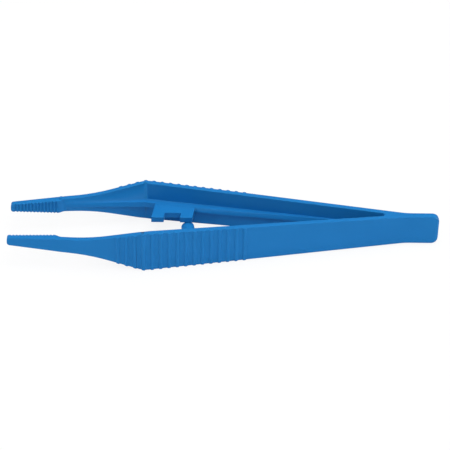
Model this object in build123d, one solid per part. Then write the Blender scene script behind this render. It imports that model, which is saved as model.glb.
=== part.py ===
from build123d import *

import os
from math import atan2, cos, degrees, hypot, radians, sin, tan

# Plastic tweezers, moulded in one piece: two bowed arms that run together into a flat heel.
# They lie on their long edges, with the jaws towards -X and the heel towards +X.
# The front arm is on the -Y side and the rear arm on the +Y side.
# All sizes are in millimetres. Distances "from the tips" run along X from the jaw tips.

# Length and heel
overall_length = 145.0
heel_thickness = 2.4
heel_width = 10.8
heel_corner_radius = 2.5
heel_blend_radius = 30.0
arms_meet_from_heel = 8.9
crotch_radius = 0.8

# Arms seen from above: the spreads are taken between the middles of the two arm walls
arm_thickness = 1.65
tip_spread = 18.5
bow_spread = 28.4
bow_from_tips = 45.7
bow_bend_radius = 5.0

# Arms seen from the side
tip_width = 2.8
tip_corner_radius = 0.9
jaw_root_from_tips = 18.5
jaw_root_width = 5.2
neck_from_tips = 27.6
neck_width = 5.9
neck_blend_radius = 60.0
bow_width = 15.1
bow_crest_radius = 16.0

# Jaw pads with their cross teeth
pad_length = 15.4
pad_ramp_length = 3.2
jaw_tip_thickness = 1.9
jaw_root_thickness = 2.65
tooth_count = 13
tooth_pitch = 1.14
first_tooth_from_tip = 1.5
tooth_depth = 0.4

# Finger grip: half-round cross ribs on the outer faces, one of them on the crest of the bow
grip_rib_count = 16
grip_ribs_before_bow = 3
grip_rib_pitch = 2.83
grip_rib_height = 0.4
grip_rib_radius = 0.8

# Stiffening keel down the middle of each inner face
keel_thickness = 2.0
keel_height = 2.1
keel_full_behind_bow = 24.0
keel_end_behind_bow = 79.0

# Stop block, web and guide block that stand on the keel of the rear arm.
# The gaps are taken to the plane midway between the arms.
stop_block_behind_bow = 4.1
block_length = 4.2
guide_block_behind_bow = 13.8
block_gap = 3.75
web_gap = 6.1

# Slotted guide post on the front arm, which straddles the guide block as the jaws close
post_diameter = 4.1
post_gap = 1.1
post_edge_chamfer = 0.3
guide_clearance = 0.15
guide_slot_depth = 5.0

# Places and angles that follow from the sizes above
half_wall = arm_thickness / 2
tip_point = (0.0, tip_spread / 2)
bow_point = (bow_from_tips, bow_spread / 2)
meeting_point = (overall_length - arms_meet_from_heel, 0.0)
front_slope = atan2(bow_point[1] - tip_point[1], bow_from_tips)
rear_slope = atan2(bow_point[1], meeting_point[0] - bow_from_tips)
crotch_x = meeting_point[0] - half_wall / sin(rear_slope)
heel_start_x = meeting_point[0] - (heel_thickness / 2 - half_wall / cos(rear_slope)) / tan(rear_slope)

# Each stretch of the rear arm has its own frame: X runs along the arm towards the heel,
# Y = 0 is the middle of the wall, and the inner side is -Y.
FRONT_STRETCH = Pos(*tip_point) * Rot(0, 0, degrees(front_slope))
REAR_STRETCH = Pos(*bow_point) * Rot(0, 0, -degrees(rear_slope))


def nearest_vertices(face, *points):
    """The corner of the face that lies nearest to each point."""
    return [min(face.vertices(), key=lambda v: hypot(v.X - x, v.Y - y)) for x, y in points]


def mirrored(shape):
    """The same solid on the other side of the plane midway between the arms."""
    return mirror(shape, about=Plane.XZ)


def mirrored_faces(flat_shape):
    """The same flat shape on the other side of that plane, still facing up."""
    return Sketch([-face for face in mirror(flat_shape, about=Plane.XZ).faces()])


def arm_wall():
    """Plain wall of the rear arm, seen from above. Its jaw end runs on past the tip, to be trimmed."""
    start = (FRONT_STRETCH * Pos(-arm_thickness, 0)).position
    path = FilletPolyline(start, bow_point, meeting_point, radius=bow_bend_radius)
    return trace(path, line_width=arm_thickness)


def arms_and_heel():
    """Both walls joined by the heel slab, with a round crotch and a full round heel end."""
    slab_start = (crotch_x + heel_start_x) / 2
    slab_length = overall_length - slab_start
    slab = Pos(slab_start + slab_length / 2, 0) * Rectangle(slab_length, heel_thickness)
    face = arm_wall() + mirrored_faces(arm_wall()) + slab
    half_slab = heel_thickness / 2
    face = fillet(nearest_vertices(face, (crotch_x, 0)), crotch_radius)
    junctions = nearest_vertices(face, (heel_start_x, half_slab), (heel_start_x, -half_slab))
    face = fillet(junctions, heel_blend_radius)
    ends = nearest_vertices(face, (overall_length, half_slab), (overall_length, -half_slab))
    return fillet(ends, 0.96 * half_slab)


def jaw_pad():
    """Wedge on the inner side of the jaw, with a smooth ramp down to the arm wall."""
    tip_face = half_wall - jaw_tip_thickness
    root_face = half_wall - jaw_root_thickness
    ramp_end = pad_length + pad_ramp_length
    flat = Line((0, tip_face), (pad_length, root_face))
    ramp = Spline((pad_length, root_face), (ramp_end, -half_wall), tangents=[(1, 0), (1, 0)])
    overrun = -arm_thickness
    back = Polyline(
        (ramp_end, -half_wall),
        (ramp_end, 0),
        (overrun, 0),
        (overrun, tip_face),
        (0, tip_face),
    )
    pad = make_face([flat, ramp, *back.edges()])
    for tooth in range(tooth_count):
        along = first_tooth_from_tip + tooth * tooth_pitch
        depth_here = tip_face + (root_face - tip_face) * along / pad_length
        groove = Rot(0, 0, 45) * Rectangle(tooth_depth * 2**0.5, tooth_depth * 2**0.5)
        pad -= Pos(along, depth_here) * groove
    return FRONT_STRETCH * pad


def grip_ribs():
    """Round bars sunk into the outer face, spaced along the wall from the crest of the bow."""
    sunk = half_wall + grip_rib_height - grip_rib_radius
    ribs = []
    for index in range(grip_rib_count):
        along = (index - grip_ribs_before_bow) * grip_rib_pitch
        if along < 0:
            centre = FRONT_STRETCH * Pos(bow_from_tips / cos(front_slope) + along, sunk)
        elif along > 0:
            centre = REAR_STRETCH * Pos(along, sunk)
        else:
            centre = Pos(*bow_point) * Pos(0, sunk)
        ribs.append(centre * Circle(grip_rib_radius))
    return ribs


def side_outline():
    """Outline of the whole moulding seen from the side, half of it mirrored about z = 0."""
    upper = [
        (0, tip_width / 2),
        (jaw_root_from_tips, jaw_root_width / 2),
        (neck_from_tips, neck_width / 2),
        (bow_from_tips, bow_width / 2),
        (heel_start_x, heel_width / 2),
        (overall_length, heel_width / 2),
    ]
    lower = [(x, -z) for x, z in reversed(upper)]
    face = make_face(Polyline(*upper, *lower, close=True))
    radii = [
        (0, tip_width / 2, tip_corner_radius),
        (neck_from_tips, neck_width / 2, neck_blend_radius),
        (bow_from_tips, bow_width / 2, bow_crest_radius),
        (overall_length, heel_width / 2, heel_corner_radius),
    ]
    for x, z, radius in radii:
        face = fillet(nearest_vertices(face, (x, z), (x, -z)), radius)
    return face


def keel():
    """Lengthwise stiffener on the inner face, tallest between the bow and the guide."""
    crown = half_wall + keel_height
    points = [
        (FRONT_STRETCH * Pos(pad_length + pad_ramp_length, -half_wall)).position,
        Vector(bow_point[0], bow_point[1] - crown),
        (REAR_STRETCH * Pos(keel_full_behind_bow, -crown)).position,
        (REAR_STRETCH * Pos(keel_end_behind_bow, -half_wall)).position,
        (REAR_STRETCH * Pos(keel_end_behind_bow, 0)).position,
        Vector(*bow_point),
        (FRONT_STRETCH * Pos(pad_length + pad_ramp_length, 0)).position,
    ]
    return make_face(Polyline(*points, close=True))


def standing_block(start, length, gap):
    """Block square to the rear stretch of the arm, cut off at a gap from the middle plane."""
    reach = bow_spread / 2
    strip = REAR_STRETCH * Pos(start + length / 2, -reach / 2) * Rectangle(length, reach)
    beyond_gap = Pos(bow_from_tips + start, gap + reach / 2) * Rectangle(overall_length, reach)
    return strip & beyond_gap


def stop_and_guide_blocks():
    """Two blocks joined by a lower web, on the rear arm only."""
    stop_end = stop_block_behind_bow + block_length
    stop_block = standing_block(stop_block_behind_bow, block_length, block_gap)
    guide_block = standing_block(guide_block_behind_bow, block_length, block_gap)
    web = standing_block(stop_end, guide_block_behind_bow - stop_end, web_gap)
    return stop_block + web + guide_block


def guide_post():
    """Round post square to the front arm, in line with the guide block and slotted for it."""
    along = guide_block_behind_bow + block_length / 2
    to_middle_plane = (bow_point[1] - along * sin(rear_slope)) / cos(rear_slope)
    post_length = to_middle_plane - post_gap
    slot_width = keel_thickness + 2 * guide_clearance
    post = extrude(Circle(post_diameter / 2), post_length)
    post = chamfer(post.edges().group_by(Axis.Z)[-1], post_edge_chamfer)
    slot = Pos(0, 0, post_length) * Box(2 * post_diameter, slot_width, 2 * guide_slot_depth)
    inwards = REAR_STRETCH * Pos(along, 0) * Rot(90, 0, 0)
    return mirrored(inwards * (post - slot))


def moulding():
    """The whole tweezers about their own middle planes, jaws at x = 0."""
    profile = arms_and_heel()
    details = [jaw_pad(), *grip_ribs()]
    for detail in details:
        profile = profile + detail + mirrored_faces(detail)
    prism = extrude(profile, bow_width, both=True)
    outline = extrude(Plane.XZ * side_outline(), bow_spread, both=True)
    body = prism & outline
    body += extrude(keel() + mirrored_faces(keel()), keel_thickness / 2, both=True)
    body += extrude(stop_and_guide_blocks(), keel_thickness / 2, both=True)
    return body + guide_post()


def laid_down(body):
    """Tilted until the bow and the heel both touch the surface, with the origin below its middle."""
    neck_rise = atan2((bow_width - neck_width) / 2, bow_from_tips - neck_from_tips)
    rear_fall = atan2((bow_width - heel_width) / 2, heel_start_x - bow_from_tips)
    crest_cut = bow_crest_radius * (1 / cos((neck_rise + rear_fall) / 2) - 1)
    drop = (bow_width - heel_width) / 2 - crest_cut
    tilt = atan2(drop, overall_length - heel_corner_radius - bow_from_tips)
    body = Rot(0, degrees(tilt), 0) * body
    box = body.bounding_box()
    return Pos(-box.center().X, -box.center().Y, -box.min.Z) * body


os.makedirs("parts", exist_ok=True)
tweezers = laid_down(moulding())
export_step(tweezers, "parts/tweezers.step")
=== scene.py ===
import math

import bpy
from mathutils import Matrix, Vector


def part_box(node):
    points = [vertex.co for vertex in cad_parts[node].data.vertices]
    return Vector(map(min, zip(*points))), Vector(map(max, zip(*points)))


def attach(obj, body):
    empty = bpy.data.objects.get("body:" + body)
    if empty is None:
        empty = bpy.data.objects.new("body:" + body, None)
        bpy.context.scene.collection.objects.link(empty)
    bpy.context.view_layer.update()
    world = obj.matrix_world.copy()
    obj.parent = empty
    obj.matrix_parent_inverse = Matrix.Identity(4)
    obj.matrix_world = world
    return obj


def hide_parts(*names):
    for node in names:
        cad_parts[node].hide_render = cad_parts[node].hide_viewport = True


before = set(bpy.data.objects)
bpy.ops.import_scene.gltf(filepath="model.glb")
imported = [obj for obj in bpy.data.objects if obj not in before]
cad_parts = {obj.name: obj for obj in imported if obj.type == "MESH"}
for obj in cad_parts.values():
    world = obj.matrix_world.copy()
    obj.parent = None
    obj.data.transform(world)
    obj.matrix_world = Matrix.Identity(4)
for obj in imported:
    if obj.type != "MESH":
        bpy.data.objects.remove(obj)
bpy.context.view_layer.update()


# The camera. It stands in front of the middle of the tweezers, looks down on their front arm
# through a long lens, and is rolled by a fraction of a degree to match the photo.
camera_distance = 0.72
camera_elevation = math.radians(37.75)
camera_roll = math.radians(-0.236)
camera_aim = Vector((0.0003, 0.0, 0.0073))
camera_data = bpy.data.cameras.new("camera")
camera_data.lens = 170.7
camera_data.clip_end = 10.0
camera = bpy.data.objects.new("camera", camera_data)
bpy.context.scene.collection.objects.link(camera)
towards_camera = Vector((0.0, -math.cos(camera_elevation), math.sin(camera_elevation)))
tilt = Matrix.Rotation(math.pi / 2 - camera_elevation, 4, "X")
roll = Matrix.Rotation(camera_roll, 4, "Z")
camera.matrix_world = Matrix.Translation(camera_aim + towards_camera * camera_distance) @ tilt @ roll
bpy.context.scene.camera = camera


# The table top. A wide sheet of matt white card, laid flat. To the camera and in reflections it
# glows almost white, and the rest of it keeps the shadow of the tweezers.
table_width = 6.0
card_colour = (0.86, 0.86, 0.86, 1.0)
white_share = 0.85
pure_white = (1.0, 1.0, 1.0, 1.0)
bpy.ops.object.select_all(action="DESELECT")
bpy.ops.mesh.primitive_plane_add(size=table_width, location=(0.0, 0.0, 0.0))
floor = bpy.context.object
floor.name = "table_top"

floor_material = bpy.data.materials.new("pale_table")
floor_material.use_nodes = True
nodes = floor_material.node_tree.nodes
links = floor_material.node_tree.links
nodes.clear()
matte = nodes.new("ShaderNodeBsdfDiffuse")
matte.inputs["Color"].default_value = card_colour
white = nodes.new("ShaderNodeEmission")
white.inputs["Color"].default_value = pure_white
path = nodes.new("ShaderNodeLightPath")
seen = nodes.new("ShaderNodeMath")
seen.operation = "MAXIMUM"
links.new(path.outputs["Is Camera Ray"], seen.inputs[0])
links.new(path.outputs["Is Glossy Ray"], seen.inputs[1])
share = nodes.new("ShaderNodeMath")
share.operation = "MULTIPLY"
share.inputs[1].default_value = white_share
links.new(seen.outputs[0], share.inputs[0])
mix = nodes.new("ShaderNodeMixShader")
links.new(share.outputs[0], mix.inputs["Fac"])
links.new(matte.outputs[0], mix.inputs[1])
links.new(white.outputs[0], mix.inputs[2])
output = nodes.new("ShaderNodeOutputMaterial")
links.new(mix.outputs[0], output.inputs["Surface"])
floor.data.materials.append(floor_material)


# The room. White walls that the camera sees as plain white, and that give a soft, weaker light
# from all around.
ambient_strength = 0.4
room = bpy.data.worlds.new("white_room")
bpy.context.scene.world = room
room.use_nodes = True
nodes = room.node_tree.nodes
links = room.node_tree.links
nodes.clear()
ambient = nodes.new("ShaderNodeBackground")
ambient.inputs["Color"].default_value = pure_white
ambient.inputs["Strength"].default_value = ambient_strength
backdrop = nodes.new("ShaderNodeBackground")
backdrop.inputs["Color"].default_value = pure_white
backdrop.inputs["Strength"].default_value = 1.0
path = nodes.new("ShaderNodeLightPath")
mix = nodes.new("ShaderNodeMixShader")
links.new(path.outputs["Is Camera Ray"], mix.inputs["Fac"])
links.new(ambient.outputs[0], mix.inputs[1])
links.new(backdrop.outputs[0], mix.inputs[2])
output = nodes.new("ShaderNodeOutputWorld")
links.new(mix.outputs[0], output.inputs["Surface"])


# The lamps. Square soft boxes: one overhead, one high in front, and one at each end, which
# brings out the flanks of the grip ribs and the teeth. The one at the heel end is the stronger.
def soft_box(name, place, size, power):
    """A square lamp at that place, turned towards the tweezers."""
    data = bpy.data.lights.new(name, "AREA")
    data.shape = "SQUARE"
    data.size = size
    data.energy = power
    lamp = bpy.data.objects.new(name, data)
    bpy.context.scene.collection.objects.link(lamp)
    lamp.location = place
    lamp.rotation_euler = (-Vector(place)).to_track_quat("-Z", "Y").to_euler()


soft_box("top_box", place=(0.1, 0.1, 1.2), size=0.9, power=6.0)
soft_box("right_box", place=(1.1, -0.15, 0.7), size=0.7, power=5.5)
soft_box("left_box", place=(-1.1, -0.15, 0.7), size=0.7, power=3.5)
soft_box("front_box", place=(0.0, -0.8, 1.2), size=0.8, power=7.0)
bpy.context.scene.view_settings.view_transform = "Standard"


# The tweezers: one injection moulding in blue polypropylene, matt from the mould, with both arms,
# the jaws, the grip ribs, the blocks and the post all in one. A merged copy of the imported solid
# is the start, and the post, the blocks and the mark of the gate are then shaped on it.
overall_length = 145.0
heel_width = 10.8
heel_corner_radius = 2.5
arm_thickness = 1.65
tip_spread = 18.5
bow_spread = 28.4
bow_from_tips = 45.7
arms_meet_from_tips = 136.1
keel_thickness = 2.0
keel_height = 2.1
half_wall = arm_thickness / 2
half_keel = keel_thickness / 2
keel_crown = half_wall + keel_height
front_slope = math.atan2((bow_spread - tip_spread) / 2, bow_from_tips)
rear_slope = math.atan2(bow_spread / 2, arms_meet_from_tips - bow_from_tips)

# The sizes above are in millimetres, in the tweezers' own frame: the jaw tips are at x = 0 and
# the middle planes at y = 0 and z = 0. On the table they lean until the heel touches down.
millimetre = 0.001
lean = math.radians(1.1833)
heel_reach = heel_width / 2 - heel_corner_radius
heel_centre = overall_length - heel_corner_radius
end_of_heel = heel_centre * math.cos(lean) + heel_reach * math.sin(lean) + heel_corner_radius
foot_of_heel = heel_centre * math.sin(lean) + heel_reach * math.cos(lean) + heel_corner_radius
highest_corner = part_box("tweezers")[1]
place = Vector((highest_corner[0] - end_of_heel * millimetre, 0.0, foot_of_heel * millimetre))
lay_down = Matrix.Translation(place) @ Matrix.Rotation(lean, 4, "Y") @ Matrix.Scale(millimetre, 4)

# Frames for work on the arms: x runs along the arm towards the heel from the bow, or from the
# tips on the jaw, and y = 0 is the middle of the wall.
rear_arm = Matrix.Translation((bow_from_tips, bow_spread / 2, 0.0)) @ Matrix.Rotation(-rear_slope, 4, "Z")
front_arm = Matrix.Translation((bow_from_tips, -bow_spread / 2, 0.0)) @ Matrix.Rotation(rear_slope, 4, "Z")
rear_jaw = Matrix.Translation((0.0, tip_spread / 2, 0.0)) @ Matrix.Rotation(front_slope, 4, "Z")


def only(piece):
    """That piece alone selected and active."""
    bpy.ops.object.select_all(action="DESELECT")
    piece.select_set(True)
    bpy.context.view_layer.objects.active = piece


def tidy_mesh(piece, reach):
    """Points that lie within reach of each other joined, and flat faces made whole."""
    only(piece)
    bpy.ops.object.mode_set(mode="EDIT")
    bpy.ops.mesh.select_all(action="SELECT")
    bpy.ops.mesh.remove_doubles(threshold=reach)
    bpy.ops.mesh.dissolve_limited(angle_limit=math.radians(0.5))
    bpy.ops.object.mode_set(mode="OBJECT")


def box_between(low, high, arm):
    """A box between two corners, given in the frame of one arm."""
    bpy.ops.object.select_all(action="DESELECT")
    middle = [(a + b) / 2 for a, b in zip(low, high)]
    bpy.ops.mesh.primitive_cube_add(size=1.0, location=middle, scale=[b - a for a, b in zip(low, high)])
    bpy.ops.object.transform_apply(location=True, rotation=True, scale=True)
    box = bpy.context.object
    box.data.transform(arm)
    return box


def combine(piece, other, operation):
    """The other shape joined to the piece or cut out of it, and then thrown away."""
    only(piece)
    modifier = piece.modifiers.new(operation.lower(), "BOOLEAN")
    modifier.operation = operation
    modifier.solver = "EXACT"
    modifier.object = other
    bpy.ops.object.modifier_apply(modifier=modifier.name)
    bpy.data.objects.remove(other)


def trim(piece, gap, facing):
    """The piece cut off at a gap from the middle plane, on the side that y = facing points to."""
    only(piece)
    bpy.ops.object.mode_set(mode="EDIT")
    bpy.ops.mesh.select_all(action="SELECT")
    bpy.ops.mesh.bisect(plane_co=(0, gap, 0), plane_no=(0, facing, 0), use_fill=True, clear_outer=True)
    bpy.ops.object.mode_set(mode="OBJECT")


def round_bar(radius, low, high, rounding, stand):
    """A round bar from one height to another along its own axis, with its upper rim rounded."""
    bpy.ops.object.select_all(action="DESELECT")
    middle = (0.0, 0.0, (low + high) / 2)
    bpy.ops.mesh.primitive_cylinder_add(vertices=48, radius=radius, depth=high - low, location=middle)
    bpy.ops.object.transform_apply(location=True, rotation=True, scale=True)
    bar = bpy.context.object
    bpy.ops.object.mode_set(mode="EDIT")
    bpy.ops.mesh.select_mode(type="EDGE")
    bpy.ops.mesh.select_all(action="DESELECT")
    bpy.ops.object.mode_set(mode="OBJECT")
    corners = bar.data.vertices
    for edge in bar.data.edges:
        edge.select = min(corners[corner].co.z for corner in edge.vertices) > middle[2]
    bpy.ops.object.mode_set(mode="EDIT")
    bpy.ops.mesh.bevel(offset=rounding, segments=3, affect="EDGES")
    bpy.ops.object.mode_set(mode="OBJECT")
    bar.data.transform(stand)
    return bar


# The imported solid's blocks are cut back to the keel, and its post to the keel and the wall. Each
# cut goes deeper than the face it follows by one weld, and the steps that it leaves are joined.
weld = 0.003
same_point = 0.0001
within_weld = 2 * weld
blocks_from = 2.0
blocks_to = 21.0
blocks_side = 1.6
post_from = 12.5
post_to = 19.5
post_side = 2.6
cut_reach = 12.0
post_foot_extra = 0.1
moulding = bpy.data.objects.new("blue_moulding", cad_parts["tweezers"].data.copy())
bpy.context.scene.collection.objects.link(moulding)
moulding.data.transform(lay_down.inverted())
tidy_mesh(moulding, same_point)
old_blocks = (blocks_from, -cut_reach, -blocks_side), (blocks_to, weld - keel_crown, blocks_side)
combine(moulding, box_between(*old_blocks, rear_arm), "DIFFERENCE")
old_post = (post_from, keel_crown - weld, -post_side), (post_to, cut_reach, post_side)
combine(moulding, box_between(*old_post, front_arm), "DIFFERENCE")
keel_side = half_keel - weld
post_edge = post_side + post_foot_extra
for bottom, top in ((keel_side, post_edge), (-post_edge, -keel_side)):
    post_foot = (post_from, half_wall - weld, bottom), (post_to, cut_reach, top)
    combine(moulding, box_between(*post_foot, front_arm), "DIFFERENCE")
tidy_mesh(moulding, within_weld)

# Stop block, low web and guide block on the keel of the rear arm: one bar square to the arm,
# cut off at a gap from the middle plane, with a notch between the blocks down to the web.
stop_block_start = 3.85
guide_block_start = 13.45
block_length = 4.1
block_gap = 3.05
web_gap = 5.7
bar_side = half_keel + weld
bar_reach = bow_spread / 2
bar_end = guide_block_start + block_length
bar = (stop_block_start, -bar_reach, -bar_side), (bar_end, -half_wall / 2, bar_side)
blocks = box_between(*bar, rear_arm)
trim(blocks, block_gap, facing=-1)
notch_start = stop_block_start + block_length
notch_side = 2 * bar_side
notch_space = (notch_start, -bar_reach, -notch_side), (guide_block_start, -half_wall, notch_side)
notch = box_between(*notch_space, rear_arm)
trim(notch, web_gap, facing=1)
combine(blocks, notch, "DIFFERENCE")
combine(moulding, blocks, "UNION")

# Guide post on the front arm, just lower than the guide block that it slides under.
post_radius = 2.2
post_start = 17.1
post_past_middle = 3.9
post_rounding = 0.3
guide_clearance = 0.15
post_reach = bow_spread / 2 - post_start * math.sin(rear_slope) + post_past_middle
post_length = post_reach / math.cos(rear_slope)
post_drop = half_keel + guide_clearance + post_radius
stand = front_arm @ Matrix.Translation((post_start, 0.0, -post_drop)) @ Matrix.Rotation(-math.pi / 2, 4, "X")
combine(moulding, round_bar(post_radius, 0.0, post_length, post_rounding, stand), "UNION")

# What the trimmed gate leaves on the upper edge of the rear arm, beside the end of the jaw pad.
gate_from_tips = 17.1
gate_radius = 0.75
gate_top = 2.91
gate_depth = 1.5
gate_rounding = 0.12
stand = rear_jaw @ Matrix.Translation((gate_from_tips, 0.0, 0.0))
gate_mark = round_bar(gate_radius, gate_top - gate_depth, gate_top, gate_rounding, stand)
combine(moulding, gate_mark, "UNION")
tidy_mesh(moulding, within_weld)

# Smooth over the curves, sharp at the corners, and each corner shaded after its largest faces.
curve_angle = math.radians(30.0)
moulding.data.transform(lay_down)
only(moulding)
bpy.ops.object.shade_smooth_by_angle(angle=curve_angle)
even_shading = moulding.modifiers.new("even_shading", "WEIGHTED_NORMAL")
even_shading.keep_sharp = True
even_shading.weight = 100
bpy.ops.object.modifier_apply(modifier=even_shading.name)

# Blue polypropylene: a fine matt grain from the spark-eroded mould, faint clouds in the colour
# where the melt has flowed, and corners that are rounded a little, with a painted highlight on them.
deep_blue = (0.007, 0.158, 0.44, 1.0)
clear_blue = (0.009, 0.18, 0.485, 1.0)
# The paler blue of the painted highlight on the corners, standing in for the light that they catch.
painted_edge_highlight_blue = (0.035, 0.25, 0.62, 1.0)
corner_rounding = 0.0002
plastic = bpy.data.materials.new("blue_polypropylene")
plastic.use_nodes = True
nodes = plastic.node_tree.nodes
links = plastic.node_tree.links
shader = nodes["Principled BSDF"]
shader.inputs["Specular IOR Level"].default_value = 0.12
where = nodes.new("ShaderNodeTexCoord")

clouds = nodes.new("ShaderNodeTexNoise")
clouds.inputs["Scale"].default_value = 90.0
clouds.inputs["Detail"].default_value = 3.0
links.new(where.outputs["Object"], clouds.inputs["Vector"])
flow = nodes.new("ShaderNodeMix")
flow.data_type = "RGBA"
flow.inputs["A"].default_value = deep_blue
flow.inputs["B"].default_value = clear_blue
links.new(clouds.outputs["Fac"], flow.inputs["Factor"])

rounded = nodes.new("ShaderNodeBevel")
rounded.samples = 6
rounded.inputs["Radius"].default_value = corner_rounding
surface = nodes.new("ShaderNodeNewGeometry")
agreement = nodes.new("ShaderNodeVectorMath")
agreement.operation = "DOT_PRODUCT"
links.new(rounded.outputs["Normal"], agreement.inputs[0])
links.new(surface.outputs["Normal"], agreement.inputs[1])
at_corner = nodes.new("ShaderNodeMapRange")
at_corner.inputs["From Min"].default_value = 1.0
at_corner.inputs["From Max"].default_value = 0.7
at_corner.inputs["To Max"].default_value = 0.5
links.new(agreement.outputs["Value"], at_corner.inputs["Value"])
# Painted highlight: the colour is mixed towards a paler blue where the rounded corners would catch the
# light.
painted_edge_highlight = nodes.new("ShaderNodeMix")
painted_edge_highlight.data_type = "RGBA"
painted_edge_highlight.inputs["B"].default_value = painted_edge_highlight_blue
links.new(at_corner.outputs["Result"], painted_edge_highlight.inputs["Factor"])
links.new(flow.outputs["Result"], painted_edge_highlight.inputs["A"])
links.new(painted_edge_highlight.outputs["Result"], shader.inputs["Base Color"])

grain = nodes.new("ShaderNodeTexNoise")
grain.inputs["Scale"].default_value = 2600.0
grain.inputs["Detail"].default_value = 2.0
links.new(where.outputs["Object"], grain.inputs["Vector"])
dullness = nodes.new("ShaderNodeMapRange")
dullness.inputs["To Min"].default_value = 0.42
dullness.inputs["To Max"].default_value = 0.6
links.new(grain.outputs["Fac"], dullness.inputs["Value"])
links.new(dullness.outputs["Result"], shader.inputs["Roughness"])
relief = nodes.new("ShaderNodeBump")
relief.inputs["Strength"].default_value = 0.25
relief.inputs["Distance"].default_value = 0.00004
links.new(grain.outputs["Fac"], relief.inputs["Height"])
links.new(rounded.outputs["Normal"], relief.inputs["Normal"])
links.new(relief.outputs["Normal"], shader.inputs["Normal"])

moulding.data.materials.clear()
moulding.data.materials.append(plastic)
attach(moulding, "root")
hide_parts("tweezers")

bpy.context.view_layer.update()
